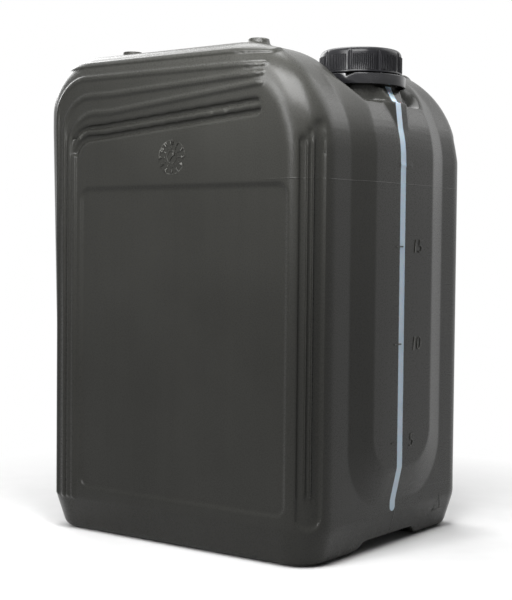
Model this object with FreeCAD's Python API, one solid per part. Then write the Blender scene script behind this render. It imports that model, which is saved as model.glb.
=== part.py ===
import FreeCAD, Part
import math
import os

# Twenty litre blow moulded jerrycan with a screw cap. Sizes are in millimetres.
# The origin is the middle of the base on the ground, X runs along the large
# faces towards the neck, Y across the narrow sides and Z up.

V = FreeCAD.Vector

# body
body_length = 280.0
body_depth = 242.0
body_height = 402.0
wall = 2.0
corner_radius = 28.0
lobe_inner_radius = 14.0
lobe_gap = 88.0
lobe_overlap = 16.0
top_radius_neck_end = 89.0
top_radius_far_end = 50.0
far_end_flare = 5.0
flare_drop = 62.0
flare_run = 170.0
flare_top_radius = 150.0
flare_low_radius = 900.0

# tapered foot and the stacking channel under it
foot_height = 29.0
foot_taper = 8.0
foot_corner_change = 4.8
foot_radius = 9.0
channel_height = 9.6
channel_top_width = 72.0
channel_bottom_width = 104.0
channel_roof_radius = 14.0
channel_foot_radius = 18.0

# valley between the two lobes
shelf_drop = 44.0
well_depth = 23.0
well_far_margin = 32.0
well_near_margin = 88.0
well_slope = 8.0
shelf_front_radius = 30.0
well_rim_radius = 6.0
well_foot_radius = 10.0
shelf_back_radius = 12.0

# raised pad on the neck side
pad_rise = 6.2
pad_flat_width = 90.0
pad_foot_width = 144.0
pad_low = 38.0
pad_flat_low = 66.0
pad_split = 150.0
pad_skirt = 4.0
pad_bury = 0.9
pad_overrun = 10.0
pad_foot_corner = 50.0
pad_flat_corner = 30.0
roof_run = 40.0

# label panel on the two large faces
panel_far_margin = 43.95
panel_near_margin = 25.55
panel_low = 39.0
panel_top_drop = 112.7
panel_recess = 1.9
panel_slope = 2.2
panel_radius = 9.0

# ribs: where they end, how far under the top, and how far in from the far end
rib_rise = 1.5
rib_width = 3.0
rib_end_margin = 49.5
rib_low = 20.0
step_drop = 8.7
step_width = 4.2
rib_a_drop = 21.0
rib_a_in = 15.5
rib_a_bend = 34.0
rib_b_drop = 28.6
rib_b_fall = 7.5
rib_b_in = 24.5
rib_b_kink = 80.0
rib_b_bend = 30.0
rib_c_drop = 36.0
rib_c_fall = 14.5
rib_c_in = 30.8
rib_c_kink = 78.0
rib_c_bend = 28.0
rib_d_drop = 84.0
rib_d_in = 36.2

# groove under the ribs, with one ridge in it
groove_depth = 3.0
groove_drop = 46.7
groove_width = 13.0
groove_fall = 12.8
groove_kink = 68.0
groove_in = 26.5
groove_end_drop = 103.0
groove_end_width = 8.0
groove_bend = 22.0
ridge_width = 4.0

# fluted pocket in the corner at the neck end
pocket_depth = 2.8
pocket_width = 19.0
pocket_low = 30.0
pocket_top_drop = 65.0
pocket_low_end = 24.0
pocket_corner = 8.2
flute_wide = 8.2
flute_middle = 3.4
flute_narrow = 5.6
flute_wide_at = 6.2
flute_middle_at = 0.9
flute_narrow_at = 6.6
flute_step = 6.0

# stacking lugs
lug_radius = 8.5
lug_height = 4.0
lug_draft = 1.0
lug_from_middle = 82.0
lug_near_margin = 81.4
lug_far_margin = 66.0

# handle
handle_width = 30.0
handle_drop = 8.0
handle_thickness = 23.0
handle_radius = 9.0
handle_far_foot = 26.0
handle_near_foot = 22.0
handle_bend = 10.0
handle_reach = 18.0

# neck and closure
neck_margin = 37.7
neck_bore = 49.0
neck_wall = 3.5
neck_drop = 3.6
neck_height = 27.6
mouth_round = 0.8
collar_rise = 1.2
bead_rise = 4.2
bead_draft = 1.4
bead_height = 2.4
bead_drop = 20.8
neck_root = 18.0

# prow in front of the neck: half widths at its foot and at its top
prow_back = 40.3
prow_side_in = 9.5
prow_side = 34.0
prow_nose = 9.5
prow_lean = 6.2
prow_foot_drop = 102.0
prow_foot_rise = 0.8
prow_proud = 0.4
prow_top_share = 0.926
pedestal_bury = 3.0
pedestal_foot_in = 28.0
pedestal_foot_side = 31.0
pedestal_foot_nose = 7.0
pedestal_side = 28.0
pedestal_side_in = 37.0
pedestal_nose = 15.5
pedestal_lean = 9.5

cap_radius = 34.0
cap_height = 20.3
cap_plate = 2.6
cap_wall = 2.7
cap_round = 3.2
cap_notches = 9
cap_first_notch = 7.0
cap_notch_radius = 1.9
cap_notch_out = 0.7
cap_rim = 1.6

disc_thickness = 1.5
disc_radius = 30.4

band_outer_radius = 36.6
band_wall = 2.0
band_height = 8.6
band_gap = 1.2
band_fit = 0.3
band_lip_height = 2.6
band_notch_angle = -73.0
band_notch_width = 5.0
band_notch_depth = 2.0

# view stripe
stripe_width = 8.0
stripe_low = 29.5
stripe_depth = 14.0
stripe_top_cut = 1.4
stripe_end_slack = 0.1

# where things come to lie
half_length = body_length / 2
half_depth = body_depth / 2
flare_end = body_height - flare_drop
flare_start = flare_end - flare_run
shelf_height = body_height - shelf_drop
valley_floor = shelf_height - well_depth
well_start = -half_length + well_far_margin
well_end = half_length - well_near_margin
panel_start = -half_length + panel_far_margin
panel_end = half_length - panel_near_margin
panel_high = body_height - panel_top_drop
rib_end_x = half_length - rib_end_margin
groove_top = body_height - groove_drop
pocket_high = body_height - pocket_top_drop
handle_top = body_height - handle_drop
neck_x = half_length - neck_margin
neck_top = body_height - neck_drop
pedestal_top = neck_top - neck_height
bead_bottom = neck_top - bead_drop
neck_root_radius = neck_bore / 2 + neck_wall
stripe_high = pedestal_top - stripe_top_cut
stripe_inset = half_length - stripe_depth
# reach of the cutting tools past the body
past = body_height / 4


def insetOutline(points, radii, inset):
    # moves every side of an anticlockwise outline inwards by the same distance
    count = len(points)
    lines = []
    for i in range(count):
        x0, y0 = points[i]
        x1, y1 = points[(i + 1) % count]
        size = math.hypot(x1 - x0, y1 - y0)
        nx = -(y1 - y0) / size
        ny = (x1 - x0) / size
        lines.append((nx, ny, nx * x0 + ny * y0 + inset))
    moved = []
    rounds = []
    for i in range(count):
        a = lines[i - 1]
        b = lines[i]
        det = a[0] * b[1] - a[1] * b[0]
        moved.append(((a[2] * b[1] - a[1] * b[2]) / det, (a[0] * b[2] - a[2] * b[0]) / det))
        change = -inset if det > 0 else inset
        rounds.append(max(radii[i] + change, 0.0) if radii[i] > 0 else 0.0)
    return moved, rounds


def roundedWire(points, radii, place):
    # closed wire with an arc of its own radius at every corner
    count = len(points)
    ends = []
    for i in range(count):
        p = points[i]
        a = points[i - 1]
        b = points[(i + 1) % count]
        ua = (a[0] - p[0], a[1] - p[1])
        ub = (b[0] - p[0], b[1] - p[1])
        la = math.hypot(*ua)
        lb = math.hypot(*ub)
        ua = (ua[0] / la, ua[1] / la)
        ub = (ub[0] / lb, ub[1] / lb)
        half = math.acos(max(-1.0, min(1.0, ua[0] * ub[0] + ua[1] * ub[1]))) / 2
        r = radii[i]
        if r < 0.05:
            ends.append((p, None, p))
            continue
        reach = r / math.tan(half)
        mid = (ua[0] + ub[0], ua[1] + ub[1])
        lm = math.hypot(*mid)
        far = r / math.sin(half) - r
        ends.append((
            (p[0] + ua[0] * reach, p[1] + ua[1] * reach),
            (p[0] + mid[0] / lm * far, p[1] + mid[1] / lm * far),
            (p[0] + ub[0] * reach, p[1] + ub[1] * reach)))
    edges = []
    for i in range(count):
        start, middle, end = ends[i]
        if middle:
            edges.append(Part.Arc(place(start), place(middle), place(end)).toShape())
        after = ends[(i + 1) % count][0]
        if math.hypot(after[0] - end[0], after[1] - end[1]) > 1e-6:
            edges.append(Part.makeLine(place(end), place(after)))
    return Part.Wire(edges)


def sideSlab(points, radii, inset, y0, y1):
    # outline in the XZ plane pulled along Y
    moved, rounds = insetOutline(points, radii, inset)
    wire = roundedWire(moved, rounds, lambda p: V(p[0], y0, p[1]))
    return Part.Face(wire).extrude(V(0, y1 - y0, 0))


def box(x0, x1, y0, y1, z0, z1):
    return Part.makeBox(x1 - x0, y1 - y0, z1 - z0, V(x0, y0, z0))


def flatWire(length, depth, radius, z):
    a = length / 2
    b = depth / 2
    points = [(-a, -b), (a, -b), (a, b), (-a, b)]
    return roundedWire(points, [radius] * 4, lambda p: V(p[0], p[1], z))


def bodyOutline():
    far = -half_length
    points = [(far, -past), (half_length, -past), (half_length, body_height),
              (far - far_end_flare, body_height), (far - far_end_flare, flare_end),
              (far, flare_start)]
    radii = [0.0, 0.0, top_radius_neck_end, top_radius_far_end, flare_top_radius, flare_low_radius]
    return points, radii


def edgesOnPlane(shape, y):
    return [e for e in shape.Edges
            if abs(e.BoundBox.YMin - y) < 1e-4 and abs(e.BoundBox.YMax - y) < 1e-4
            and e.BoundBox.ZMax > -past / 2]


def lobe(inset):
    # one half of the top with its large face, rounded all the way round
    points, radii = bodyOutline()
    outer = -half_depth + inset
    inner = -lobe_gap / 2 - inset
    slab = sideSlab(points, radii, inset, outer, inner)
    slab = slab.makeFillet(corner_radius - inset, edgesOnPlane(slab, outer))
    slab = slab.makeFillet(lobe_inner_radius - inset, edgesOnPlane(slab, inner))
    return slab


def bandPrism(path, width, radius, near_end_round, y0, y1):
    # band of one width along a path in the XZ plane with rounded bends
    count = len(path)
    left = []
    right = []
    for i in range(count):
        dirs = []
        if i > 0:
            dirs.append((path[i][0] - path[i - 1][0], path[i][1] - path[i - 1][1]))
        if i < count - 1:
            dirs.append((path[i + 1][0] - path[i][0], path[i + 1][1] - path[i][1]))
        dirs = [(d[0] / math.hypot(*d), d[1] / math.hypot(*d)) for d in dirs]
        nx = sum(-d[1] for d in dirs)
        ny = sum(d[0] for d in dirs)
        size = math.hypot(nx, ny)
        scale = 1.0
        if len(dirs) == 2:
            scale = 1.0 / math.sqrt((1 + dirs[0][0] * dirs[1][0] + dirs[0][1] * dirs[1][1]) / 2)
        h = width / 2 * scale
        left.append((path[i][0] + nx / size * h, path[i][1] + ny / size * h))
        right.append((path[i][0] - nx / size * h, path[i][1] - ny / size * h))
    points = right + left[::-1]
    # the inside of a bend gets the smaller radius
    radii = []
    for i in range(count):
        radii.append(radius + width / 2 if 0 < i < count - 1 else near_end_round)
    inner = [max(radius - width / 2, 0.5) if 0 < i < count - 1 else near_end_round
             for i in range(count)]
    turn = 0.0
    for i in range(1, count - 1):
        a = (path[i][0] - path[i - 1][0], path[i][1] - path[i - 1][1])
        b = (path[i + 1][0] - path[i][0], path[i + 1][1] - path[i][1])
        turn += a[0] * b[1] - a[1] * b[0]
    if turn > 0:
        all_radii = radii + inner[::-1]
    else:
        all_radii = inner + radii[::-1]
    wire = roundedWire(points, all_radii, lambda p: V(p[0], y0, p[1]))
    return Part.Face(wire).extrude(V(0, y1 - y0, 0))


def fromFarEnd(distance, drop):
    return (-half_length + distance, body_height - drop)


def ribPaths():
    # right end, bend at the top left, then down beside the corner
    rib_b_left = rib_b_drop + rib_b_fall
    rib_c_left = rib_c_drop + rib_c_fall
    low = body_height - rib_low
    return [
        ([(rib_end_x, body_height - step_drop), fromFarEnd(0.0, step_drop)], step_width, 0.0),
        ([(rib_end_x, body_height - rib_a_drop), fromFarEnd(rib_a_in, rib_a_drop),
          fromFarEnd(rib_a_in, low)], rib_width, rib_a_bend),
        ([(rib_end_x, body_height - rib_b_drop), fromFarEnd(rib_b_kink, rib_b_left),
          fromFarEnd(rib_b_in, rib_b_left), fromFarEnd(rib_b_in, low)], rib_width, rib_b_bend),
        ([(rib_end_x, body_height - rib_c_drop), fromFarEnd(rib_c_kink, rib_c_left),
          fromFarEnd(rib_c_in, rib_c_left), fromFarEnd(rib_c_in, low)], rib_width, rib_c_bend),
        ([fromFarEnd(rib_d_in, rib_d_drop), fromFarEnd(rib_d_in, low)], rib_width, 0.0),
    ]


def grooveTool(extra):
    # tapers round the bend at its far end
    end_left = groove_in
    end_right = groove_in + groove_end_width
    upper_left = groove_drop + groove_fall
    points = [(rib_end_x, groove_top), fromFarEnd(groove_kink, upper_left),
              fromFarEnd(end_left + groove_end_width, upper_left + rib_rise),
              fromFarEnd(end_left, groove_end_drop), fromFarEnd(end_right, groove_end_drop),
              fromFarEnd(end_right + groove_end_width, upper_left + groove_width + rib_rise),
              fromFarEnd(groove_kink, upper_left + groove_width),
              (rib_end_x, groove_top - groove_width)]
    end_round = 0.48 * groove_width
    tip_round = 0.42 * groove_end_width
    radii = [end_round, 2 * groove_bend, groove_bend, tip_round, tip_round, 0.7 * groove_bend,
             2 * groove_bend, end_round]
    moved, rounds = insetOutline(points, radii, -extra)
    y0 = -half_depth - corner_radius
    wire = roundedWire(moved, rounds, lambda p: V(p[0], y0, p[1]))
    return Part.Face(wire).extrude(V(0, 2 * corner_radius, 0))


def ridgeTool():
    middle = groove_width / 2
    left = groove_drop + groove_fall + middle
    end_in = groove_in + groove_end_width / 2
    path = [(rib_end_x - ridge_width / 2, groove_top - middle), fromFarEnd(groove_kink, left),
            fromFarEnd(end_in + ridge_width, left), fromFarEnd(end_in, groove_end_drop)]
    return bandPrism(path, ridge_width, groove_bend, 0.0,
                     -half_depth - corner_radius, -half_depth + corner_radius)


def pocketTool(offset, width, low, high):
    # upright slot seen along the diagonal of the corner at the neck end
    middle = V(half_length - pocket_corner, -half_depth + pocket_corner, 0)
    across = V(1, 1, 0).normalize()
    outward = V(1, -1, 0).normalize()
    w = width / 2
    start = middle + across * offset - outward * pocket_corner
    points = [(-w, low), (w, low), (w, high), (-w, high)]
    wire = roundedWire(points, [w * 0.96] * 4, lambda p: start + across * p[0] + V(0, 0, p[1]))
    return Part.Face(wire).extrude(outward * corner_radius)


def pocketCut(inset):
    # three flutes that run out into one round end, and one wider slot for the inner skin
    if inset > 0:
        return pocketTool(0.0, pocket_width + 2 * inset, pocket_low - pocket_width,
                          pocket_high + 2 * inset)
    flutes = [
        (-flute_narrow_at, flute_narrow, pocket_high - 2 * flute_step),
        (-flute_middle_at, flute_middle, pocket_high - flute_step),
        (flute_wide_at, flute_wide, pocket_high),
    ]
    tool = pocketTool(0.0, pocket_width, pocket_low, pocket_low + pocket_low_end)
    for offset, width, high in flutes:
        tool = tool.fuse(pocketTool(offset, width, pocket_low + pocket_low_end / 2, high))
    return tool


def panelTool(inset):
    # its sides slope, and the slope goes on past the large face
    wires = []
    for depth in (-panel_radius / 2, panel_recess + inset):
        out = inset + panel_slope * (0.5 - (depth - inset) / panel_recess)
        points = [(panel_start - out, panel_low - out), (panel_end + out, panel_low - out),
                  (panel_end + out, panel_high + out), (panel_start - out, panel_high + out)]
        y = -half_depth + depth
        wires.append(roundedWire(points, [panel_radius + out] * 4, lambda p: V(p[0], y, p[1])))
    return Part.makeLoft(wires, True, True)


def detailedLobe(inset):
    plain = lobe(inset)
    shape = plain.cut(panelTool(inset))
    deep = lobe(inset + groove_depth)
    groove = grooveTool(inset)
    if inset == 0:
        groove = groove.cut(ridgeTool())
    shape = shape.cut(groove.cut(deep))
    corner = lobe(inset + pocket_depth)
    shape = shape.cut(pocketCut(inset).cut(corner))
    if inset == 0:
        raised = lobe(-rib_rise)
        for path, width, radius in ribPaths():
            rib = bandPrism(path, width, radius, width * 0.45,
                            -half_depth - corner_radius, -half_depth + corner_radius)
            shape = shape.fuse(rib.common(raised))
    return shape


def footPart(inset):
    low = inset
    length = body_length - 2 * inset
    depth = body_depth - 2 * inset
    top = flatWire(length, depth, corner_radius - inset, foot_height)
    base = flatWire(length - 2 * foot_taper, depth - 2 * foot_taper,
                    corner_radius - foot_corner_change - inset, low)
    solid = Part.makeLoft([base, top], True, True)
    rim = [e for e in solid.Edges if e.BoundBox.ZMax < low + wall / 10]
    return solid.makeFillet(foot_radius - inset * 0.5, rim)


def channelTool(inset):
    a = channel_top_width / 2 + inset * 0.7
    b = channel_bottom_width / 2 + inset * 0.7
    top = channel_height + inset
    out = b + channel_foot_radius
    points = [(-out, -past), (out, -past), (out, 0.0), (b, 0.0), (a, top), (-a, top),
              (-b, 0.0), (-out, 0.0)]
    radii = [0.0, 0.0, 0.0, channel_foot_radius, channel_roof_radius, channel_roof_radius,
             channel_foot_radius, 0.0]
    wire = roundedWire(points, radii, lambda p: V(-body_length, p[0], p[1]))
    return Part.Face(wire).extrude(V(2 * body_length, 0, 0))


def centrePart(inset):
    # what joins the two lobes, with the deep well under the handle
    far = -half_length
    points = [(far, -past), (half_length, -past), (half_length, shelf_height),
              (well_end + well_slope, shelf_height), (well_end, valley_floor),
              (well_start, valley_floor), (well_start - well_slope, shelf_height),
              (far - far_end_flare, shelf_height), (far - far_end_flare, flare_end),
              (far, flare_start)]
    radii = [0.0, 0.0, shelf_front_radius, well_rim_radius, well_foot_radius, well_foot_radius,
             well_rim_radius, shelf_back_radius, 0.0, flare_low_radius]
    y = lobe_gap / 2 + lobe_overlap
    return sideSlab(points, radii, inset, -y, y)


def padUpper(inset):
    # ruled sides between the flat pad and a section just inside the body
    sections = []
    foot = pad_foot_width / 2 + pad_skirt
    flat = pad_flat_width / 2
    rows = [(-foot, -pad_bury), (-flat, pad_rise), (flat, pad_rise), (foot, -pad_bury)]
    for y, rise in rows:
        x = half_length + rise - inset
        r = top_radius_neck_end + rise - inset
        z = body_height - top_radius_neck_end
        h = math.sqrt(0.5)
        cx = half_length - top_radius_neck_end
        end_z = z + math.sqrt(r * r - pad_overrun * pad_overrun)
        a = V(x, y, pad_split)
        b = V(x, y, z)
        c = V(cx + r * h, y, z + r * h)
        d = V(cx + pad_overrun, y, end_z)
        e = V(cx + pad_overrun, y, pad_split)
        sections.append(Part.Wire([Part.makeLine(a, b), Part.Arc(b, c, d).toShape(),
                                   Part.makeLine(d, e), Part.makeLine(e, a)]))
    return Part.makeLoft(sections, True, True)


def padLower(inset):
    # the rounded lower end of the pad
    rows = [(-pad_bury, pad_foot_width / 2 + pad_skirt, pad_low - pad_skirt, pad_foot_corner),
            (pad_rise, pad_flat_width / 2, pad_flat_low, pad_flat_corner)]
    wires = []
    for rise, w, low, r in rows:
        x = half_length + rise - inset
        points = [(-w, low), (w, low), (w, pad_split), (-w, pad_split)]
        wires.append(roundedWire(points, [r, r, 0.0, 0.0], lambda p: V(x, p[0], p[1])))
    return Part.makeLoft(wires, True, True)


def padRoof(inset):
    # the pad ends against the valley and on a slope over each lobe
    w = lobe_gap / 2
    z = shelf_height - inset
    high = body_height + past
    points = [(-w, z), (w, z), (w + roof_run, z + roof_run), (w + roof_run, high),
              (-w - roof_run, high), (-w - roof_run, z + roof_run)]
    wire = roundedWire(points, [0.0] * 6, lambda p: V(-body_length, p[0], p[1]))
    return Part.Face(wire).extrude(V(2 * body_length, 0, 0))


def prow(rows):
    wires = []
    for z, back, points in rows:
        outline = [(back, points[0][1])] + points
        outline = outline + [(x, -y) for x, y in reversed(points)] + [(back, -points[0][1])]
        vs = [V(x, y, z) for x, y in outline]
        wires.append(Part.makePolygon(vs + [vs[0]]))
    return Part.makeLoft(wires, True, True)


def neckColumn(inset):
    # the faceted prow in front of the neck and the pedestal it carries
    t = inset
    pad_x = half_length + pad_rise
    back = neck_x - prow_back + t
    low_side = half_length - prow_side_in
    top_side = low_side - prow_lean / 2 - pad_bury
    column = prow([
        (shelf_height + prow_foot_rise - t - prow_foot_drop / 2, back,
         [(low_side - t, -prow_side + t), (pad_x + prow_proud - t, -prow_nose + t * 0.5)]),
        (shelf_height + prow_foot_rise - t, back,
         [(top_side - t, -prow_side * prow_top_share + t),
          (pad_x - prow_lean + prow_proud - t, -prow_nose + t * 0.5)]),
    ])
    pedestal = prow([
        (shelf_height - pedestal_bury, back + pad_skirt,
         [(half_length - pedestal_foot_in - t, -pedestal_foot_side + t),
          (half_length - t, -pedestal_foot_nose + t * 0.5)]),
        (pedestal_top - t, back + pad_skirt,
         [(half_length - pedestal_side_in - t, -pedestal_side + t),
          (half_length - pedestal_lean - t, -pedestal_nose + t * 0.8)]),
    ])
    return column.fuse(pedestal)


def handlePart(inset):
    under = handle_top - handle_thickness
    low = valley_floor - wall - well_foot_radius
    bend = under - handle_reach
    far_in = well_start + handle_reach
    far_out = well_start - handle_far_foot
    near_in = well_end - handle_near_foot
    near_out = well_end + well_slope
    points = [(far_out, low), (far_in, low), (far_in, bend), (far_in + handle_bend, under),
              (near_in - handle_bend, under), (near_in, bend), (near_in, low), (near_out, low),
              (near_out, under - handle_bend / 2), (near_in + well_slope, handle_top),
              (well_start + well_slope, handle_top), (far_out, handle_top - handle_near_foot)]
    radii = [0.0, 0.0, handle_bend, handle_bend, handle_bend, handle_bend, 0.0, 0.0,
             1.4 * handle_bend, 1.8 * handle_bend, 2.6 * handle_bend, 1.4 * handle_bend]
    w = handle_width / 2 - inset
    slab = sideSlab(points, radii, inset, -w, w)
    rims = [e for e in slab.Edges if abs(abs(e.BoundBox.YMin) - w) < 1e-4
            and abs(e.BoundBox.YMax - e.BoundBox.YMin) < 1e-4 and e.BoundBox.ZMax > low + handle_bend]
    return slab.makeFillet(handle_radius - inset, rims)


def ring(outer, inner, z0, z1):
    a = Part.makeCylinder(outer, z1 - z0, V(neck_x, 0, z0))
    b = Part.makeCylinder(inner, z1 - z0, V(neck_x, 0, z0))
    return a.cut(b)


def neckTube():
    low = shelf_height - neck_root
    tube = Part.makeCylinder(neck_root_radius, neck_top - low, V(neck_x, 0, low))
    mouth = [e for e in tube.Edges if e.BoundBox.ZMin > neck_top - mouth_round]
    tube = tube.makeFillet(mouth_round, mouth)
    bead = Part.makeCone(neck_root_radius + bead_rise, neck_root_radius + bead_rise - bead_draft,
                         bead_height, V(neck_x, 0, bead_bottom))
    collar = Part.makeCylinder(neck_root_radius + collar_rise, bead_bottom - low, V(neck_x, 0, low))
    return tube.fuse([bead, collar])


def bodySolid(inset):
    near = detailedLobe(inset)
    far = near.mirror(V(0, 0, 0), V(0, 1, 0))
    upper = near.fuse([far, centrePart(inset)])
    long = body_length
    upper = upper.common(box(-long, long, -long, long, foot_height, body_height + past))
    foot = footPart(inset)
    pad = padUpper(inset).fuse(padLower(inset)).cut(padRoof(inset))
    shape = upper.fuse([foot, pad, neckColumn(inset), handlePart(inset).common(
        box(-long, long, -lobe_gap, lobe_gap, valley_floor - wall, body_height + past))])
    return shape.cut(channelTool(inset))


def lugs():
    made = []
    for x in (half_length - lug_near_margin, -half_length + lug_far_margin):
        for side in (-1, 1):
            lug = Part.makeCone(lug_radius + lug_draft, lug_radius, lug_height + wall,
                                V(x, side * lug_from_middle, body_height - wall))
            made.append(lug)
    return made


def shellSolid():
    outer = bodySolid(0.0).fuse(lugs() + [neckTube()])
    inner = bodySolid(wall)
    bore = Part.makeCylinder(neck_bore / 2, past, V(neck_x, 0, neck_top - 0.6 * past))
    return outer.cut(inner).cut(bore)


def stripeTool():
    low = stripe_low
    points = [(-stripe_width, low), (0.0, low), (0.0, stripe_high), (-stripe_width, stripe_high)]
    r = stripe_width / 2 - stripe_end_slack
    wire = roundedWire(points, [r, r, 0.0, 0.0], lambda p: V(stripe_inset, p[0], p[1]))
    return Part.Face(wire).extrude(V(2 * stripe_depth + pad_rise, 0, 0))


def screwCap():
    # made on the Z axis with its rim at height 0, then moved on to the neck
    bottom = neck_top + disc_thickness + cap_plate - cap_height
    bore = cap_radius - cap_wall
    cup = Part.makeCylinder(cap_radius, cap_height)
    rim = [e for e in cup.Edges if e.BoundBox.ZMin > cap_height - cap_plate]
    cup = cup.makeFillet(cap_round, rim)
    cup = cup.cut(Part.makeCylinder(bore, cap_height - cap_plate))
    for i in range(cap_notches):
        angle = math.radians(360.0 * i / cap_notches + cap_first_notch)
        reach = cap_radius + cap_notch_out
        spot = V(reach * math.cos(angle), reach * math.sin(angle), cap_rim)
        cup = cup.cut(Part.makeCylinder(cap_notch_radius, cap_height, spot))
    cup.translate(V(neck_x, 0, bottom))
    return cup


def sealingDisc():
    return Part.makeCylinder(disc_radius, disc_thickness, V(neck_x, 0, neck_top))


def tamperBand():
    top = neck_top + disc_thickness + cap_plate - cap_height - band_gap
    low = top - band_height
    band = ring(band_outer_radius, band_outer_radius - band_wall, low, top)
    lip_top = bead_bottom - band_fit
    lip = ring(band_outer_radius - band_wall / 2, neck_root_radius + collar_rise + band_fit,
               lip_top - band_lip_height, lip_top)
    band = band.fuse(lip)
    notch = Part.makeBox(2 * band_wall, band_notch_width, 2 * band_notch_depth,
                         V(band_outer_radius - 1.5 * band_wall, -band_notch_width / 2, top - band_notch_depth))
    notch.rotate(V(0, 0, 0), V(0, 0, 1), band_notch_angle)
    notch.translate(V(neck_x, 0, 0))
    return band.cut(notch)


def save(shape, name):
    shape = shape.removeSplitter()
    print(name, shape.isValid(), len(shape.Solids), round(shape.Volume / 1000.0, 1), "cm3")
    shape.exportStep("parts/" + name + ".step")


os.makedirs("parts", exist_ok=True)
shell = shellSolid()
stripe_zone = stripeTool()
save(shell.cut(stripe_zone), "canister")
save(shell.common(stripe_zone), "view_stripe")
save(screwCap(), "screw_cap")
save(sealingDisc(), "sealing_disc")
save(tamperBand(), "tamper_band")
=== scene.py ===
import math
import time

import bmesh
import bpy
import numpy as np
from mathutils import Matrix, Vector
from mathutils.bvhtree import BVHTree


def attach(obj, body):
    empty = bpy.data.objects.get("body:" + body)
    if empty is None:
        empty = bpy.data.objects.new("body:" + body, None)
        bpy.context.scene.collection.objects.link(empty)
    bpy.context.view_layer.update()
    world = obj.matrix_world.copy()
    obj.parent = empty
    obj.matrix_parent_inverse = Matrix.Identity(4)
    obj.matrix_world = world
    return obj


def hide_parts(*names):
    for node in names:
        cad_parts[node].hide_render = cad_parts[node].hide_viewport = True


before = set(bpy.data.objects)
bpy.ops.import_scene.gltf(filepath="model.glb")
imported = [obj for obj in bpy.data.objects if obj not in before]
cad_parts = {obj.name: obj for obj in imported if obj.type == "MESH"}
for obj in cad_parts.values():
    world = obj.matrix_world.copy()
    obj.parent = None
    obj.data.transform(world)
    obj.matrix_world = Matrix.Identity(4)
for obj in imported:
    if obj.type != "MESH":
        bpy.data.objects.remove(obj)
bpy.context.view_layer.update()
startTime = time.time()
mm = 0.001


def report(stage):
    print("jerrycan:", stage, round(time.time() - startTime, 1), "s")


def newObject(name, data):
    made = bpy.data.objects.new(name, data)
    bpy.context.scene.collection.objects.link(made)
    return made


def meshOf(work, name):
    # a bmesh as a mesh; the bmesh is freed
    mesh = bpy.data.meshes.new(name)
    work.to_mesh(mesh)
    work.free()
    return mesh


def plainMesh(holder):
    # an object with its modifiers as a plain mesh; the object is removed
    shaped = holder.evaluated_get(bpy.context.evaluated_depsgraph_get())
    mesh = bpy.data.meshes.new_from_object(shaped)
    bpy.data.objects.remove(holder)
    return mesh


# camera at the photograph's angle; the frame is 512 by 600
cameraView = {
    "lens": 78.227,
    "sensor": 36,
    "place": (0.672604, -0.914635, 0.239322),
    "turn": 36.412,
    "down": 2.181,
    "roll": 0.550,
}


def makeCamera(c):
    turn, down, roll = (math.radians(c[key]) for key in ("turn", "down", "roll"))
    back = Vector((math.sin(turn) * math.cos(down),
                   -math.cos(turn) * math.cos(down),
                   math.sin(down)))
    level = Vector((math.cos(turn), math.sin(turn), 0))
    upright = back.cross(level)
    right = level * math.cos(roll) + upright * math.sin(roll)
    up = upright * math.cos(roll) - level * math.sin(roll)
    data = bpy.data.cameras.new("photoCamera")
    data.lens = c["lens"]
    data.sensor_width = c["sensor"]
    camera = newObject("photoCamera", data)
    facing = Matrix((right, up, back)).transposed().to_4x4()
    camera.matrix_world = Matrix.Translation(c["place"]) @ facing
    bpy.context.scene.camera = camera


makeCamera(cameraView)


# shader sums read as plain sums
class Wire:
    def __init__(self, look, socket):
        self.look = look
        self.socket = socket

    def maths(self, operation, first, second=None):
        inputs = {0: first} if second is None else {0: first, 1: second}
        return self.look.add("ShaderNodeMath", {"operation": operation}, inputs)

    def __add__(self, other):
        return self.maths("ADD", self, other)

    def __radd__(self, other):
        return self.maths("ADD", other, self)

    def __sub__(self, other):
        return self.maths("SUBTRACT", self, other)

    def __rsub__(self, other):
        return self.maths("SUBTRACT", other, self)

    def __mul__(self, other):
        return self.maths("MULTIPLY", self, other)

    def __rmul__(self, other):
        return self.maths("MULTIPLY", other, self)

    def __abs__(self):
        return self.maths("ABSOLUTE", self)

    def __pow__(self, other):
        return self.maths("POWER", self, other)


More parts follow.
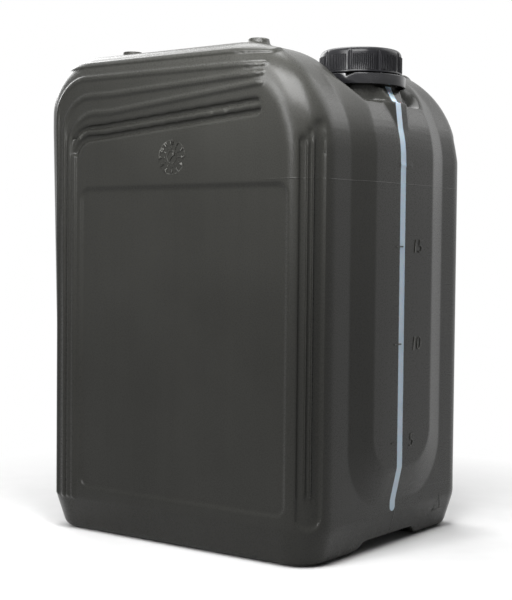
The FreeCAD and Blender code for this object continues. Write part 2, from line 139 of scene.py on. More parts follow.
class Look:
    # one material on the way, with its object coordinates and its surface shader
    def __init__(self, name):
        self.material = bpy.data.materials.new(name)
        self.material.use_nodes = True
        self.tree = self.material.node_tree
        self.tree.nodes.clear()
        self.surface = self.tree.nodes.new("ShaderNodeBsdfPrincipled")
        self.output = self.tree.nodes.new("ShaderNodeOutputMaterial")
        self.tree.links.new(self.surface.outputs[0], self.output.inputs[0])
        self.place = self.add("ShaderNodeTexCoord", out="Object")

    def add(self, kind, settings=None, inputs=None, out=0):
        node = self.tree.nodes.new(kind)
        for key, value in (settings or {}).items():
            setattr(node, key, value)
        for key, value in (inputs or {}).items():
            self.feed(node.inputs[key], value)
        return Wire(self, node.outputs[out])

    def feed(self, socket, value):
        if isinstance(value, Wire):
            self.tree.links.new(value.socket, socket)
        elif isinstance(value, tuple) and len(value) == 3 and socket.type == "RGBA":
            socket.default_value = (*value, 1)
        else:
            socket.default_value = value

    def finish(self, **values):
        for key, value in values.items():
            self.feed(self.surface.inputs[key.replace("_", " ")], value)
        return self.material

    def noise(self, scale, detail=2.0, stretch=(1, 1, 1), rough=0.5):
        where = self.place
        if stretch != (1, 1, 1):
            where = self.add("ShaderNodeMapping", None, {"Vector": self.place, "Scale": stretch})
        return self.add("ShaderNodeTexNoise", None,
                        {"Vector": where, "Scale": scale, "Detail": detail, "Roughness": rough})

    def spread(self, value, low, high, toLow=0.0, toHigh=1.0):
        return self.add("ShaderNodeMapRange", None,
                        {"Value": value, "From Min": low, "From Max": high,
                         "To Min": toLow, "To Max": toHigh})

    def tone(self, noise):
        # noise keeps near its middle, so that part of it is drawn out over 0 to 1
        return self.spread(noise, 0.35, 0.65)

    def blend(self, factor, first, second):
        node = self.tree.nodes.new("ShaderNodeMix")
        node.data_type = "RGBA"
        for name, value in (("Factor_Float", factor), ("A_Color", first), ("B_Color", second)):
            self.feed(next(s for s in node.inputs if s.identifier == name), value)
        return Wire(self, next(s for s in node.outputs if s.identifier == "Result_Color"))

    def bump(self, height, distance, strength=1.0, normal=None):
        inputs = {"Height": height, "Distance": distance, "Strength": strength}
        if normal is not None:
            inputs["Normal"] = normal
        return self.add("ShaderNodeBump", None, inputs)

    def axes(self):
        node = self.tree.nodes.new("ShaderNodeSeparateXYZ")
        self.feed(node.inputs[0], self.place)
        return [Wire(self, output) for output in node.outputs]


canPlastic = {
    "dark": (0.0180, 0.0180, 0.0160),
    "light": (0.0225, 0.0225, 0.0202),
    "cloudScale": 9.0,
    "cloudShare": 0.85,
    "streakScale": 60.0,
    "streakShare": 0.15,
    "scuffAndGlint": (0.15, 0.15, 0.14),
    "scratchScale": 180.0,
    "scratchSpan": (0.42, 0.62),
    "wearGlintFrom": 0.25,
    "wearGlintMost": 0.7,
    "roughness": 0.28,
    "roughStreaks": 0.04,
    "roughGrain": 0.12,
    "roughWearAndGlint": 0.15,
    "specular": 0.16,
    # heights and places in metres
    "grainScale": 1000.0,
    "grain": 0.00008,
    "waves": 0.0004,
    "seam": 0.00025,
    "seamHalf": 0.0006,
    "lineHalf": 0.0005,
    "insertLine": 0.2935,
    "insertTilt": 0.004,
    "insertDepth": 0.6,
    "footLine": 0.0435,
    "footTilt": 0.02,
    "footDepth": 0.45,
    "neckEnd": (0.092, 0.100),
}


def canLook(c):
    look = Look("canPlastic")
    x, y, z = look.axes()
    clouds = look.noise(c["cloudScale"], 3.0)
    streaks = look.noise(c["streakScale"], 2.0, (1, 1, 0.06))
    grain = look.noise(c["grainScale"], 2.0)
    edge = look.add("ShaderNodeAttribute", {"attribute_name": "edgeWearAndGlint"}, out="Fac")
    scratch = look.noise(c["scratchScale"], 4.0, (1, 1, 0.3), 0.7)
    tone = look.tone(clouds * c["cloudShare"] + streaks * c["streakShare"])
    colour = look.blend(tone, c["dark"], c["light"])
    # the edge attribute is real wear on the body's outward edges; on the raised marks it covers
    # their whole tops, so the lighter scuff colour there is a painted highlight, painted glints
    wearAndGlint = look.spread(edge * look.spread(scratch, *c["scratchSpan"]),
                       c["wearGlintFrom"], 1.0, 0.0, c["wearGlintMost"])
    colour = look.blend(wearAndGlint, colour, c["scuffAndGlint"])
    rough = (c["roughness"] + c["roughStreaks"] * (streaks - 0.5)
             + c["roughGrain"] * (grain - 0.5) + c["roughWearAndGlint"] * wearAndGlint)

    # parting line all round, and two faint lines across the neck end
    def line(away, half):
        return look.spread(abs(away), 0.0, half, 1.0, 0.0)

    seam = line(y, c["seamHalf"])
    insert = line(z - c["insertLine"] - c["insertTilt"] * y, c["lineHalf"])
    foot = line(z - c["footLine"] + c["footTilt"] * y, c["lineHalf"])
    neckEnd = look.spread(x, *c["neckEnd"])
    seam = seam + c["insertDepth"] * insert * neckEnd + c["footDepth"] * foot * neckEnd
    normal = look.bump(seam, c["seam"])
    normal = look.bump(grain, c["grain"], 0.6, normal)
    normal = look.bump(clouds, c["waves"], 0.3, normal)
    return look.finish(Base_Color=colour, Roughness=rough, Normal=normal,
                       Specular_IOR_Level=c["specular"])


stripePlastic = {
    "pale": (0.43, 0.52, 0.61),
    "deep": (0.33, 0.42, 0.51),
    "cloudScale": 40.0,
    "roughness": 0.32,
    "roughGrain": 0.1,
    "grainScale": 1400.0,
    "grain": 0.00005,
    "scatter": 0.25,
    "scatterReach": 0.004,
}


def stripeLook(c):
    look = Look("stripePlastic")
    clouds = look.noise(c["cloudScale"], 2.0, (1, 1, 0.1))
    grain = look.noise(c["grainScale"], 2.0)
    return look.finish(Base_Color=look.blend(look.tone(clouds), c["deep"], c["pale"]),
                       Roughness=c["roughness"] + c["roughGrain"] * (grain - 0.5),
                       Normal=look.bump(grain, c["grain"], 0.5),
                       Subsurface_Weight=c["scatter"], Subsurface_Scale=c["scatterReach"])


capPlastic = {
    "dark": (0.006, 0.006, 0.007),
    "light": (0.011, 0.011, 0.012),
    "cloudScale": 70.0,
    "dust": (0.08, 0.08, 0.08),
    "speckScale": 500.0,
    "speckSpan": (0.68, 0.76),
    "speckMost": 0.5,
    "roughness": 0.24,
    "roughClouds": 0.12,
    "roughGrain": 0.08,
    "roughSpecks": 0.2,
    "specular": 0.13,
    "grainScale": 1800.0,
    "grain": 0.00004,
}
bandPlastic = dict(capPlastic, roughness=0.14, specular=0.35)


def capLook(c, name):
    look = Look(name)
    clouds = look.noise(c["cloudScale"], 3.0)
    grain = look.noise(c["grainScale"], 2.0)
    specks = look.spread(look.noise(c["speckScale"], 3.0, rough=0.7),
                         *c["speckSpan"], 0.0, c["speckMost"])
    colour = look.blend(look.tone(clouds), c["dark"], c["light"])
    colour = look.blend(specks, colour, c["dust"])
    rough = (c["roughness"] + c["roughClouds"] * (clouds - 0.5)
             + c["roughGrain"] * (grain - 0.5) + c["roughSpecks"] * specks)
    return look.finish(Base_Color=colour, Roughness=rough,
                       Normal=look.bump(grain, c["grain"], 0.5),
                       Specular_IOR_Level=c["specular"])


linerFoam = {
    "pale": (0.74, 0.74, 0.71),
    "grey": (0.60, 0.60, 0.57),
    "cellScale": 1200.0,
    "cells": 0.0001,
    "roughness": 0.75,
    "roughCells": 0.1,
}


def linerLook(c):
    look = Look("linerFoam")
    cells = look.noise(c["cellScale"], 3.0)
    return look.finish(Base_Color=look.blend(look.tone(cells), c["grey"], c["pale"]),
                       Roughness=c["roughness"] + c["roughCells"] * (cells - 0.5),
                       Normal=look.bump(cells, c["cells"], 0.5))


canMaterial = canLook(canPlastic)
stripeMaterial = stripeLook(stripePlastic)
capMaterial = capLook(capPlastic, "capPlastic")
bandMaterial = capLook(bandPlastic, "bandPlastic")
linerMaterial = linerLook(linerFoam)
report("materials")


def makePiece(name, mesh, material, body):
    mesh.materials.clear()
    mesh.materials.append(material)
    piece = newObject(name, mesh)
    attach(piece, body)
    return piece


def withModifiers(mesh, steps):
    # steps are (modifier type, settings); gives back a plain mesh
    work = newObject("work", mesh)
    for kind, settings in steps:
        modifier = work.modifiers.new(kind.lower(), kind)
        for key, value in settings.items():
            setattr(modifier, key, value)
    return plainMesh(work)


def readPoints(mesh, field):
    # "co" or "normal" of every vertex, one row each
    values = np.zeros(len(mesh.vertices) * 3)
    mesh.vertices.foreach_get(field, values)
    return values.reshape(-1, 3)


def readEdges(mesh):
    # the two ends of every edge, as two rows of vertex numbers
    ends = np.zeros(len(mesh.edges) * 2, dtype=np.int64)
    mesh.edges.foreach_get("vertices", ends)
    return ends.reshape(-1, 2).T


def smoothAll(mesh, angle):
    mesh.polygons.foreach_set("use_smooth", [True] * len(mesh.polygons))
    mesh.set_sharp_from_angle(angle=math.radians(angle))


# blown body: the CAD shell with the soft edges of blow moulding
canBody = {
    "mergeWithin": 0.000002,
    "voxel": 0.0012,
    "quickVoxel": 0.0015,
    "softening": 0.5,
    "softenTimes": 3,
    "triangles": 170000,
    "creaseAngle": 40,
    # slot for the view stripe, in mm
    "stripeSides": (-8.0, 0.0),
    "stripeEnds": (29.5, 371.6),
    "stripeReach": (120.0, 160.0),
    "stripeArcSteps": 12,
}


def mergedCopy(names, within):
    work = bmesh.new()
    for name in names:
        work.from_mesh(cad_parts[name].data)
    bmesh.ops.remove_doubles(work, verts=work.verts, dist=within)
    return meshOf(work, "merged")


def stripeCutter(c):
    # upright slot with a round lower end
    (y0, y1), (z0, z1), (x0, x1) = c["stripeSides"], c["stripeEnds"], c["stripeReach"]
    radius = (y1 - y0) / 2
    outline = [(y1, z1), (y0, z1)]
    for i in range(c["stripeArcSteps"] + 1):
        angle = math.radians(180 + 180 / c["stripeArcSteps"] * i)
        outline.append(((y0 + y1) / 2 + radius * math.cos(angle),
                        z0 + radius + radius * math.sin(angle)))
    work = bmesh.new()
    near = [work.verts.new((x0 * mm, y * mm, z * mm)) for y, z in outline]
    far = [work.verts.new((x1 * mm, y * mm, z * mm)) for y, z in outline]
    work.faces.new(near)
    work.faces.new(far[::-1])
    for i in range(len(outline)):
        j = (i + 1) % len(outline)
        work.faces.new((near[i], far[i], far[j], near[j]))
    bmesh.ops.recalc_face_normals(work, faces=work.faces)
    return meshOf(work, "stripeCutter")


edgeWearAndGlint = {"fullBend": 180.0, "spreadTimes": 3}


def markEdges(mesh, c):
    # how sharply the surface turns outwards, kept as an attribute for the wear
    count = len(mesh.vertices)
    co = readPoints(mesh, "co")
    normals = readPoints(mesh, "normal")
    a, b = readEdges(mesh)
    degree = np.bincount(np.concatenate([a, b]), minlength=count)
    around = np.zeros((count, 3))
    reach = np.zeros(count)
    length = np.linalg.norm(co[a] - co[b], axis=1)
    for one, other in ((a, b), (b, a)):
        np.add.at(around, one, co[other])
        np.add.at(reach, one, length)
    degree = np.maximum(degree, 1)
    away = np.einsum("ij,ij->i", co - around / degree[:, None], normals)
    bend = away / (reach / degree) ** 2
    value = np.clip(bend / c["fullBend"], 0, 1)
    for _ in range(c["spreadTimes"]):
        total = np.zeros(count)
        for one, other in ((a, b), (b, a)):
            np.add.at(total, one, value[other])
        value = 0.5 * value + 0.5 * total / degree
    attribute = mesh.attributes.new("edgeWearAndGlint", "FLOAT", "POINT")
    attribute.data.foreach_set("value", value.astype(np.float32))


softSpots = {
    # (x, y either side, z) stretches in mm where the skin is relaxed
    "boxes": (
        ((108.0, 160.0), (90.0, 140.0), (318.0, 350.0)),  # tops of the corner flutes
        ((108.0, 160.0), (90.0, 140.0), (18.0, 36.0)),  # their low ends
        ((88.0, 160.0), (36.0, 80.0), (350.0, 390.0)),  # hollow beside the prow
    ),
    "fade": 8.0,
    "pull": 0.5,
    "times": 24,
}


def softenSpots(mesh, c):
    # relaxes the skin in a few places, where the real form fades out
    count = len(mesh.vertices)
    co = readPoints(mesh, "co")
    weight = np.zeros(count)
    axes = (co[:, 0] / mm, abs(co[:, 1]) / mm, co[:, 2] / mm)
    for box in c["boxes"]:
        inside = np.ones(count)
        for value, (low, high) in zip(axes, box):
            inside = inside * np.clip(np.minimum(value - low, high - value) / c["fade"], 0, 1)
        weight = np.maximum(weight, inside)
    a, b = readEdges(mesh)
    used = (weight[a] > 0) | (weight[b] > 0)
    a, b = a[used], b[used]
    spots, numbers = np.unique(np.concatenate([a, b]), return_inverse=True)
    a, b = numbers[:len(a)], numbers[len(a):]
    degree = np.maximum(np.bincount(np.concatenate([a, b]), minlength=len(spots)), 1)
    place = co[spots]
    share = c["pull"] * weight[spots][:, None]
    for _ in range(c["times"]):
        total = np.stack([np.bincount(a, place[b, k], len(spots))
                          + np.bincount(b, place[a, k], len(spots)) for k in range(3)], axis=1)
        place = place + share * (total / degree[:, None] - place)
    co[spots] = place
    mesh.vertices.foreach_set("co", co.ravel())
    mesh.update()


def makeBody(c):
    voxel = c["voxel"]
    skin = withModifiers(mergedCopy(("canister", "view_stripe"), c["mergeWithin"]), [
        ("REMESH", {"mode": "VOXEL", "voxel_size": voxel, "adaptivity": 0.0}),
        ("SMOOTH", {"factor": c["softening"], "iterations": c["softenTimes"]}),
    ])
    softenSpots(skin, softSpots)
    report("body skin of %d faces" % len(skin.polygons))
    # the remeshed faces are four-sided, so each counts as two triangles
    skin = withModifiers(skin, [
        ("DECIMATE", {"ratio": min(1.0, c["triangles"] / (2.0 * len(skin.polygons)))}),
    ])
    report("body thinned to %d faces" % len(skin.polygons))
    cutter = newObject("stripeCutter", stripeCutter(c))
    parts = []
    for operation in ("DIFFERENCE", "INTERSECT"):
        part = withModifiers(skin.copy(), [
            ("BOOLEAN", {"operation": operation, "object": cutter, "solver": "EXACT"}),
        ])
        smoothAll(part, c["creaseAngle"])
        parts.append(part)
    bpy.data.objects.remove(cutter)
    report("stripe cut")
    markEdges(parts[0], edgeWearAndGlint)
    body = makePiece("canBody", parts[0], canMaterial, "can")
    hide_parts("canister")
    stripe = makePiece("viewStripe", parts[1], stripeMaterial, "can")
    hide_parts("view_stripe")
    return body


body = makeBody(canBody)
report("body")


# closure: all in mm, round the neck's upright axis at x = neckX
neckX = 102.3


def neckPoint(radius, angle, height):
    return ((neckX + radius * math.cos(angle)) * mm, radius * math.sin(angle) * mm, height * mm)


def ringPoints(profile, steps, axisEnds, shape):
    # turns a profile of (radius, height) round the neck's axis
    work = bmesh.new()
    rings = []
    for number, (radius, height) in enumerate(profile):
        if axisEnds and number in (0, len(profile) - 1):
            rings.append([work.verts.new((neckX * mm, 0, height * mm))])
            continue
        ring = []
        for i in range(steps):
            angle = 2 * math.pi * i / steps
            r, z = shape(radius, height, math.degrees(angle))
            ring.append(work.verts.new(neckPoint(r, angle, z)))
        rings.append(ring)
    pairs = list(zip(rings, rings[1:]))
    if not axisEnds:
        pairs.append((rings[-1], rings[0]))
    for low, high in pairs:
        for i in range(steps):
            j = (i + 1) % steps
            if len(low) == 1:
                work.faces.new((low[0], high[i], high[j]))
            elif len(high) == 1:
                work.faces.new((low[i], high[0], low[j]))
            else:
                work.faces.new((low[i], high[i], high[j], low[j]))
    bmesh.ops.recalc_face_normals(work, faces=work.faces)
    return meshOf(work, "turned")


def arc(cx, cz, radius, start, end, count):
    return [(cx + radius * math.cos(math.radians(start + (end - start) * i / count)),
             cz + radius * math.sin(math.radians(start + (end - start) * i / count)))
            for i in range(count + 1)]


screwCap = {
    "bottom": 382.2,
    "height": 20.3,
    # (radius, height from the top) of the shallow recess, from the middle outwards
    "recess": ((0, -1.1), (1.2, -1.1), (1.5, -0.9), (26.0, -0.9), (26.6, -0.7),
               (27.2, -0.1), (27.6, 0)),
    "wallRadius": 33.1,
    "rimRadius": 34.0,
    "rimHeight": 1.5,
    "shoulder": 4.6,
    "bore": 31.3,
    "plate": 2.6,
    "notches": 9,
    "firstNotch": 7.0,
    "notchRadius": 1.9,
    "notchReach": 34.2,
    "notchWall": 0.6,
    "steps": 720,
    "creaseAngle": 32,
}


def makeCap(c):
    z0 = c["bottom"]
    top = z0 + c["height"]
    under = top - c["plate"]
    rimTop = z0 + c["rimHeight"]
    wall, rim, bore, s = (c[key] for key in ("wallRadius", "rimRadius", "bore", "shoulder"))
    profile = [(radius, top + step) for radius, step in c["recess"]]
    profile += arc(wall - s, top - s, s, 90, 4, 8)
    # down the tapered wall, round the rim, and up the bore; small steps break the edges
    profile += [(wall + 0.02, top - 2 * s), (wall + 0.1, z0 + 8.0), (wall + 0.16, rimTop + 0.4),
                (wall + 0.3, rimTop + 0.1), (rim - 0.1, rimTop), (rim, rimTop - 0.2),
                (rim, z0 + 0.25), (rim - 0.25, z0), (bore + 0.4, z0), (bore, z0 + 0.4),
                (bore, z0 + 9.0), (bore, under - 1.0), (bore - 1.0, under), (0, under)]
    pitch = 360.0 / c["notches"]

    def notched(radius, height, angle):
        if height < rimTop + 0.3 or radius < bore + 0.01:
            return radius, height
        off = (angle - c["firstNotch"] + pitch / 2) % pitch - pitch / 2
        side = abs(math.radians(off)) * rim
        if side >= c["notchRadius"]:
            return radius, height
        floor = c["notchReach"] - math.sqrt(c["notchRadius"] ** 2 - side ** 2)
        return min(radius, max(floor, bore + c["notchWall"])), height

    mesh = ringPoints(profile, c["steps"], True, notched)
    smoothAll(mesh, c["creaseAngle"])
    cap = makePiece("capShell", mesh, capMaterial, "cap")
    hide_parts("screw_cap")


makeCap(screwCap)


threadForm = {"base": 3.0, "tip": 1.4, "pitch": 6.0, "backing": 0.4, "edge": 0.05,
              "growPerTurn": 10, "stepsPerTurn": 96, "creaseAngle": 50}
neckThread = dict(threadForm, root=28.0, crest=30.2, low=383.6, turns=1.75, start=0.0)
capThread = dict(threadForm, root=31.3, crest=29.1, low=385.6, turns=1.5, start=-60.0)


def threadMesh(c):
    # ridge of one section along a right-handed helix, thinned out at both ends
    work = bmesh.new()
    turns = c["turns"]
    steps = int(turns * c["stepsPerTurn"])
    half = c["base"] / 2
    tip = c["tip"] / 2
    outward = c["crest"] > c["root"]
    back = c["root"] - c["backing"] if outward else c["root"] + c["backing"]
    rows = []
    for i in range(steps + 1):
        share = i / steps
        angle = math.radians(c["start"]) + share * turns * 2 * math.pi
        z = c["low"] + share * turns * c["pitch"]
        grow = min(1.0, share * turns * c["growPerTurn"], (1 - share) * turns * c["growPerTurn"])
        crest = c["root"] + (c["crest"] - c["root"]) * grow
        section = [(back, -half), (c["root"], -half), (crest, -tip * grow - c["edge"]),
                   (crest, tip * grow + c["edge"]), (c["root"], half), (back, half)]
        rows.append([work.verts.new(neckPoint(r, angle, z + dz)) for r, dz in section])
    for a, b in zip(rows, rows[1:]):
        for k in range(len(a)):
            work.faces.new((a[k], a[(k + 1) % len(a)], b[(k + 1) % len(a)], b[k]))
    work.faces.new(rows[0])
    work.faces.new(rows[-1][::-1])
    bmesh.ops.recalc_face_normals(work, faces=work.faces)
    mesh = meshOf(work, "thread")
    smoothAll(mesh, c["creaseAngle"])
    return mesh


makePiece("neckThread", threadMesh(neckThread), canMaterial, "can")
makePiece("capThread", threadMesh(capThread), capMaterial, "cap")


tamperBand = {
    "top": 381.0,
    "height": 8.6,
    "outer": 36.6,
    "wall": 2.0,
    "lipTop": 377.3,
    "lipHeight": 2.6,
    "lipRadius": 29.5,
    "notchAngle": -76.7,
    "notchLength": 7.5,
    "notchDepth": 2.6,
    "notchRim": 1.0,
    "notchEdge": 0.3,
    "steps": 540,
    "creaseAngle": 35,
}


def makeBand(c):
    top = c["top"]
    low = top - c["height"]
    out = c["outer"]
    inn = out - c["wall"]
    lip, lipTop = c["lipRadius"], c["lipTop"]
    lipLow = lipTop - c["lipHeight"]
    # down the outside, up the inside and round the lip that grips the bead
    profile = [(inn + 0.3, top), (out - 0.9, top)] + arc(out - 0.6, top - 0.6, 0.6, 70, 0, 4)
    profile += [(out, top - 4.0), (out, low + 0.5), (out - 0.15, low + 0.15), (out - 0.5, low),
                (inn + 0.4, low), (inn, low + 0.4), (inn, lipLow), (lip + 0.6, lipLow),
                (lip, lipLow + 0.7), (lip + 0.4, lipTop), (inn, lipTop), (inn, top - 0.4)]

    def ratchet(radius, height, angle):
        along = math.radians((angle - c["notchAngle"] + 180) % 360 - 180) * out
        if height < top - c["notchRim"] or not -c["notchEdge"] <= along <= c["notchLength"]:
            return radius, height
        drop = c["notchDepth"] * (1 - max(along, 0) / c["notchLength"])
        return radius, height - drop

    mesh = ringPoints(profile, c["steps"], False, ratchet)
    smoothAll(mesh, c["creaseAngle"])
    band = makePiece("tamperRing", mesh, bandMaterial, "can")
    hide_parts("tamper_band")


makeBand(tamperBand)
report("closure")


def nodeMaker(tree):
    # two functions for a tree: one adds any node, the other a Math node
    def add(kind, settings=None, inputs=None, out=0):
        node = tree.nodes.new(kind)
        for key, value in (settings or {}).items():
            setattr(node, key, value)
        for key, value in (inputs or {}).items():
            if isinstance(value, bpy.types.NodeSocket):
                tree.links.new(value, node.inputs[key])
            else:
                node.inputs[key].default_value = value
        return node.outputs[out]

    def maths(operation, first, second):
        return add("ShaderNodeMath", {"operation": operation}, {0: first, 1: second})

    return add, maths


# what repeats round the closure comes from one Geometry Nodes tree
def roundTree():
    tree = bpy.data.node_groups.new("roundTheNeck", "GeometryNodeTree")
    tree.interface.new_socket("Geometry", in_out="OUTPUT", socket_type="NodeSocketGeometry")
    kinds = {"Count": "Int", "Radius": "Float", "Height": "Float", "Length": "Float",
             "Width": "Float", "First Gap": "Float", "Gap Pitch": "Float", "Gap Width": "Float",
             "Middle": "Vector", "Material": "Material"}
    for label, kind in kinds.items():
        tree.interface.new_socket(label, in_out="INPUT", socket_type="NodeSocket" + kind)
    given = tree.nodes.new("NodeGroupInput").outputs
    leave = tree.nodes.new("NodeGroupOutput")
    add, maths = nodeMaker(tree)
    circle = add("GeometryNodeMeshCircle", None,
                 {"Vertices": given["Count"], "Radius": given["Radius"]})
    split = tree.nodes.new("ShaderNodeSeparateXYZ")
    tree.links.new(add("GeometryNodeInputPosition"), split.inputs[0])
    angle = maths("ARCTAN2", split.outputs[1], split.outputs[0])
    half = maths("MULTIPLY", given["Gap Pitch"], 0.5)
    turned = maths("ADD", maths("SUBTRACT", angle, given["First Gap"]), half)
    nearest = maths("SUBTRACT", maths("FLOORED_MODULO", turned, given["Gap Pitch"]), half)
    away = add("ShaderNodeMath", {"operation": "ABSOLUTE"}, {0: nearest})
    keep = maths("GREATER_THAN", away, given["Gap Width"])
    rib = add("GeometryNodeMeshCylinder", None,
              {"Vertices": 8, "Radius": maths("MULTIPLY", given["Width"], 0.5),
               "Depth": given["Length"]})
    spots = add("GeometryNodeInstanceOnPoints", None,
                {"Points": circle, "Selection": keep, "Instance": rib})
    lift = add("ShaderNodeCombineXYZ", None, {2: given["Height"]})
    shift = add("ShaderNodeVectorMath", {"operation": "ADD"}, {0: given["Middle"], 1: lift})
    moved = add("GeometryNodeTransform", None, {"Geometry": spots, "Translation": shift})
    plain = add("GeometryNodeRealizeInstances", None, {"Geometry": moved})
    done = add("GeometryNodeSetMaterial", None, {"Geometry": plain, "Material": given["Material"]})
    tree.links.new(done, leave.inputs[0])
    return tree


neckTree = roundTree()


def makeRound(name, values, material, body):
    work = newObject("work", bpy.data.meshes.new("work"))
    modifier = work.modifiers.new("round", "NODES")
    modifier.node_group = neckTree
    for item in neckTree.interface.items_tree:
        if item.item_type == "SOCKET" and item.in_out == "INPUT":
            value = material if item.name == "Material" else values[item.name]
            modifier[item.identifier] = value
    mesh = plainMesh(work)
    smoothAll(mesh, values["creaseAngle"])
    makePiece(name, mesh, material, body)


capRibs = {
    "Count": 126,
    "Radius": 33.35 * mm,
    "Height": (screwCap["bottom"] + 8.2) * mm,
    "Length": 12.6 * mm,
    "Width": 1.1 * mm,
    "First Gap": math.radians(screwCap["firstNotch"]),
    "Gap Pitch": math.radians(360.0 / screwCap["notches"]),
    "Gap Width": math.radians(4.2),
    "Middle": (neckX * mm, 0, 0),
    "creaseAngle": 50,
}
makeRound("capKnurls", capRibs, capMaterial, "cap")

bandNibs = {
    "Count": 12,
    "Radius": 34.8 * mm,
    "Height": 381.1 * mm,
    "Length": 1.6 * mm,
    "Width": 0.8 * mm,
    "First Gap": math.radians(-71.0),
    "Gap Pitch": math.radians(360.0),
    "Gap Width": math.radians(9.0),
    "Middle": (neckX * mm, 0, 0),
    "creaseAngle": 50,
}
makeRound("bandNibs", bandNibs, bandMaterial, "can")

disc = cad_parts["sealing_disc"]
disc.data.materials.clear()
disc.data.materials.append(linerMaterial)
report("knurls and nibs")


markForm = {
    # in mm, but the ray's start and reach in metres
    "bevel": 0.12,
    "curveSteps": 3,
    "root": 0.3,
    "barBevel": 0.4,
    "mergeWithin": 0.0005,
    "rayStart": 0.05,
    "rayReach": 0.12,
    "creaseAngle": 35,
}


# raised marks: each is drawn flat as (across, up, height) in mm, then laid on the skin
class Marks:
    def __init__(self, form):
        self.form = form
        self.work = bmesh.new()

    def place(self, mesh, across, up, turn):
        turned = Matrix.Rotation(math.radians(turn), 4, "Z")
        mesh.transform(Matrix.Translation((across, up, 0)) @ turned)
        self.work.from_mesh(mesh)
        bpy.data.meshes.remove(mesh)

    def text(self, words, size, height, across, up, turn=0.0, shear=0.0, thin=0.0):
        curve = bpy.data.curves.new("words", "FONT")
        curve.body = words
        curve.size = size
        curve.shear = shear
        curve.align_x = "CENTER"
        curve.align_y = "CENTER"
        curve.resolution_u = self.form["curveSteps"]
        curve.extrude = height
        curve.bevel_depth = self.form["bevel"]
        curve.offset = -size * thin
        self.place(plainMesh(newObject("words", curve)), across, up, turn)

    def outline(self, points, inner, height, across, up, turn=0.0):
        # flat ring between two outlines, with sloping sides
        made = bmesh.new()
        base = height + self.form["root"]
        levels = ((points, -base), (points, height), (inner, height), (inner, -base))
        rings = [[made.verts.new((x, y, z)) for x, y in line] for line, z in levels]
        for a, b in zip(rings, rings[1:] + rings[:1]):
            for i in range(len(a)):
                j = (i + 1) % len(a)
                made.faces.new((a[i], a[j], b[j], b[i]))
        bmesh.ops.recalc_face_normals(made, faces=made.faces)
        self.place(meshOf(made, "outline"), across, up, turn)

    def circle(self, radius, width, height, across, up, sides=48):
        spots = [(math.cos(2 * math.pi * i / sides), math.sin(2 * math.pi * i / sides))
                 for i in range(sides)]
        outer, inner = ([(x * r, y * r) for x, y in spots] for r in (radius, radius - width))
        self.outline(outer, inner, height, across, up)

    def bar(self, length, width, height, across, up, turn=0.0):
        made = bmesh.new()
        bmesh.ops.create_cube(made, size=1.0)
        for v in made.verts:
            v.co = Vector((v.co.x * length, v.co.y * width, v.co.z * 2 * height))
        bmesh.ops.bevel(made, geom=made.edges[:], offset=min(width, height) * self.form["barBevel"],
                        segments=2, affect="EDGES")
        self.place(meshOf(made, "bar"), across, up, turn)

    def lay(self, name, skin, side, reach):
        # drops every point on to the skin along the side's normal
        right, normal = side
        origin = normal * reach
        form = self.form
        bmesh.ops.remove_doubles(self.work, verts=self.work.verts, dist=form["mergeWithin"])
        bmesh.ops.recalc_face_normals(self.work, faces=self.work.faces)
        up = Vector((0, 0, 1))
        # every raised point of a mark gets the full edge value, which paints its top in the lighter
        # scuff colour: a painted highlight standing in for glints, not wear
        paintedGlint = [float(v.co.z > 0) for v in self.work.verts]
        for v in self.work.verts:
            spot = origin + right * (v.co.x * mm) + up * (v.co.y * mm)
            hit = skin.ray_cast(spot + normal * form["rayStart"], -normal, form["rayReach"])[0]
            v.co = (hit if hit else spot) + normal * (v.co.z * mm)
        mesh = meshOf(self.work, name)
        wearAndGlint = mesh.attributes.new("edgeWearAndGlint", "FLOAT", "POINT")
        wearAndGlint.data.foreach_set("value", paintedGlint)
        smoothAll(mesh, form["creaseAngle"])
        makePiece(name, mesh, canMaterial, "can")


skin = BVHTree.FromObject(body, bpy.context.evaluated_depsgraph_get())

# sides of the can: its right as seen from outside, and its normal
neckSide = (Vector((0, 1, 0)), Vector((1, 0, 0)))
frontSide = (Vector((1, 0, 0)), Vector((0, -1, 0)))

levelMarks = {
    # numeral: (middle across, height of its middle, tick from, tick to, height of the tick)
    "numerals": {
        "15": (20.0, 243.3, -14.2, -3.0, 243.4),
        "10": (19.8, 164.0, -15.3, -4.1, 165.2),
        "5": (13.7, 85.6, -17.9, -11.5, 86.2),
    },
    "size": 16.0,
    "height": 0.5,
    "shear": 0.12,
    "thin": 0.018,
    "tickWidth": 1.1,
    "reach": 0.1462,
}


def makeLevels(c):
    marks = Marks(markForm)
    for numeral, (across, up, tickFrom, tickTo, tickUp) in c["numerals"].items():
        marks.text(numeral, c["size"], c["height"], across, up, shear=c["shear"], thin=c["thin"])
        marks.bar(tickTo - tickFrom, c["tickWidth"], c["height"], (tickFrom + tickTo) / 2, tickUp)
    marks.lay("levelMarks", skin, neckSide, c["reach"])


makeLevels(levelMarks)

dateDial = {
    "across": 3.0,
    "up": 312.5,
    "height": 0.6,
    "numbers": 11.3,
    "numberSize": 3.8,
    "dashes": 7.6,
    "dash": (0.7, 1.9),
    # (radius, width, height) of the two rings
    "rim": (13.7, 0.35, 0.16),
    "hub": (5.2, 0.5, 0.3),
    "pointerTurn": -40.0,
    "pointer": (0.9, 6.4),
    "tipAt": 3.0,
    "tip": [(-1.6, -0.6), (1.6, -0.6), (0, 2.0)],
    "tipHole": [(-0.2, 0.2), (0.2, 0.2), (0, 0.5)],
    "reach": 0.121,
}


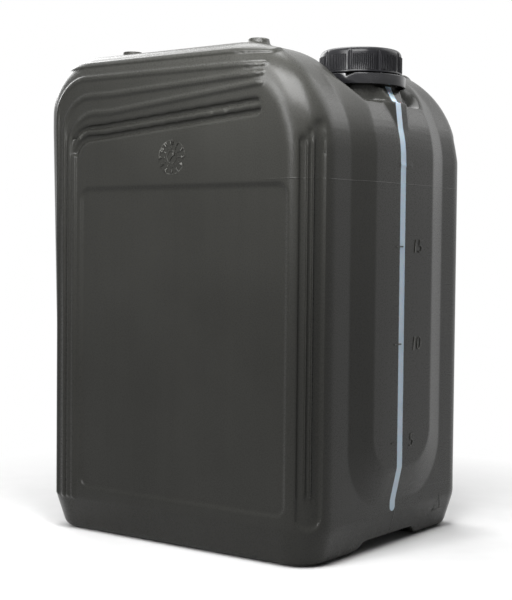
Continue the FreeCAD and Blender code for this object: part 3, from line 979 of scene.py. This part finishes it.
def makeDial(c):
    marks = Marks(markForm)
    middle = (c["across"], c["up"])

    def polar(radius, turn):
        # a place on the dial, turned from straight up
        angle = math.radians(90 + turn)
        return c["across"] + radius * math.cos(angle), c["up"] + radius * math.sin(angle)

    for number in range(1, 13):
        turn = -30.0 * number
        marks.text(str(number), c["numberSize"], c["height"], *polar(c["numbers"], turn), turn)
        marks.bar(*c["dash"], c["height"], *polar(c["dashes"], turn), turn)
    marks.circle(*c["rim"], *middle)
    marks.circle(*c["hub"], *middle)
    marks.bar(*c["pointer"], c["height"], *middle, c["pointerTurn"])
    marks.outline(c["tip"], c["tipHole"], c["height"], *polar(c["tipAt"], c["pointerTurn"]),
                  c["pointerTurn"])
    marks.lay("dateDial", skin, frontSide, c["reach"])


makeDial(dateDial)

footTriangle = {
    "across": 75.0,
    "up": 23.6,
    "height": 0.35,
    "outer": [(-7.5, -6.0), (7.5, -6.0), (-0.5, 7.5)],
    "inner": [(-5.9, -5.0), (5.8, -5.0), (-0.5, 5.6)],
    "reach": 0.137,
}


def makeTriangle(c):
    marks = Marks(markForm)
    marks.outline(c["outer"], c["inner"], c["height"], c["across"], c["up"])
    marks.lay("footTriangle", skin, neckSide, c["reach"])


makeTriangle(footTriangle)
report("marks")


# floor, light and backdrop
studio = {
    "pale": (0.80, 0.80, 0.80),
    "paler": (0.84, 0.84, 0.84),
    "speckleScale": 30.0,
    "speckleSpan": (0.3, 0.7),
    "roughness": 0.9,
    "half": 6.0,
    "whiteFrom": 0.20,
    "whiteTo": 0.46,
    "fill": 0.03,
}


def seenRays(add, maths):
    # camera, glossy and transmission rays, which all see the white background
    seen = add("ShaderNodeLightPath", out="Is Camera Ray")
    for kind in ("Is Glossy Ray", "Is Transmission Ray"):
        seen = maths("MAXIMUM", seen, add("ShaderNodeLightPath", out=kind))
    return seen


def makeFloor(c):
    # plain near the object, where it keeps the shadow, and white further out
    look = Look("studioFloor")
    speckle = look.noise(c["speckleScale"], 3.0)
    colour = look.blend(look.spread(speckle, *c["speckleSpan"]), c["pale"], c["paler"])
    material = look.finish(Base_Color=colour, Roughness=c["roughness"])
    x, y = look.axes()[:2]
    away = look.spread((x ** 2 + y ** 2) ** 0.5, c["whiteFrom"], c["whiteTo"])
    factor = away * seenRays(look.add, away.maths)
    white = look.add("ShaderNodeEmission", None, {"Color": (1, 1, 1, 1), "Strength": 1.0})
    mixed = look.add("ShaderNodeMixShader", None,
                     {0: factor, 1: Wire(look, look.surface.outputs[0]), 2: white})
    look.feed(look.output.inputs[0], mixed)
    mesh = bpy.data.meshes.new("floor")
    h = c["half"]
    mesh.from_pydata([(-h, -h, 0), (h, -h, 0), (h, h, 0), (-h, h, 0)], [], [(0, 1, 2, 3)])
    mesh.materials.append(material)
    floor = newObject("studioFloor", mesh)


def makeWorld(fill):
    world = bpy.data.worlds.new("studio")
    bpy.context.scene.world = world
    world.use_nodes = True
    tree = world.node_tree
    tree.nodes.clear()
    add, maths = nodeMaker(tree)
    soft, white = (add("ShaderNodeBackground", None, {"Color": (1, 1, 1, 1), "Strength": strength})
                   for strength in (fill, 1.0))
    mixed = add("ShaderNodeMixShader", None, {0: seenRays(add, maths), 1: soft, 2: white})
    tree.links.new(mixed, tree.nodes.new("ShaderNodeOutputWorld").inputs["Surface"])


lamps = {
    # name: (turn round the object, distance from its axis, height, wide, tall,
    #        height it is aimed at, watts)
    "nearRight": (42.0, 0.30, 0.58, 0.2, 0.2, 0.3, 2.8),
    "nearFront": (12.0, 0.29, 0.54, 0.2, 0.2, 0.3, 1.2),
    "strip": (-3.0, 1.00, 0.68, 0.16, 0.6, 0.35, 6.5),
    "neckSide": (135.0, 0.50, 0.70, 0.4, 0.4, 0.3, 1.3),
    "right": (165.0, 1.50, 0.75, 0.8, 0.8, 0.2, 0.8),
    "back": (225.0, 0.75, 1.61, 0.8, 0.8, 0.2, 12.0),
    "left": (250.0, 1.39, 1.00, 0.8, 0.8, 0.2, 10.0),
}


def makeLamps(table):
    for name, (turn, far, high, wide, tall, aim, watts) in table.items():
        a = math.radians(turn)
        data = bpy.data.lights.new(name, "AREA")
        data.shape = "RECTANGLE"
        data.size = wide
        data.size_y = tall
        data.energy = watts
        lamp = newObject(name, data)
        lamp.location = (math.sin(a) * far, -math.cos(a) * far, high)
        lamp.rotation_mode = "QUATERNION"
        toAim = Vector((0, 0, aim)) - lamp.location
        lamp.rotation_quaternion = toAim.to_track_quat("-Z", "Y")
        lamp.visible_camera = False


makeFloor(studio)
makeWorld(studio["fill"])
makeLamps(lamps)
bpy.context.scene.view_settings.view_transform = "Standard"
report("stage and lamps")
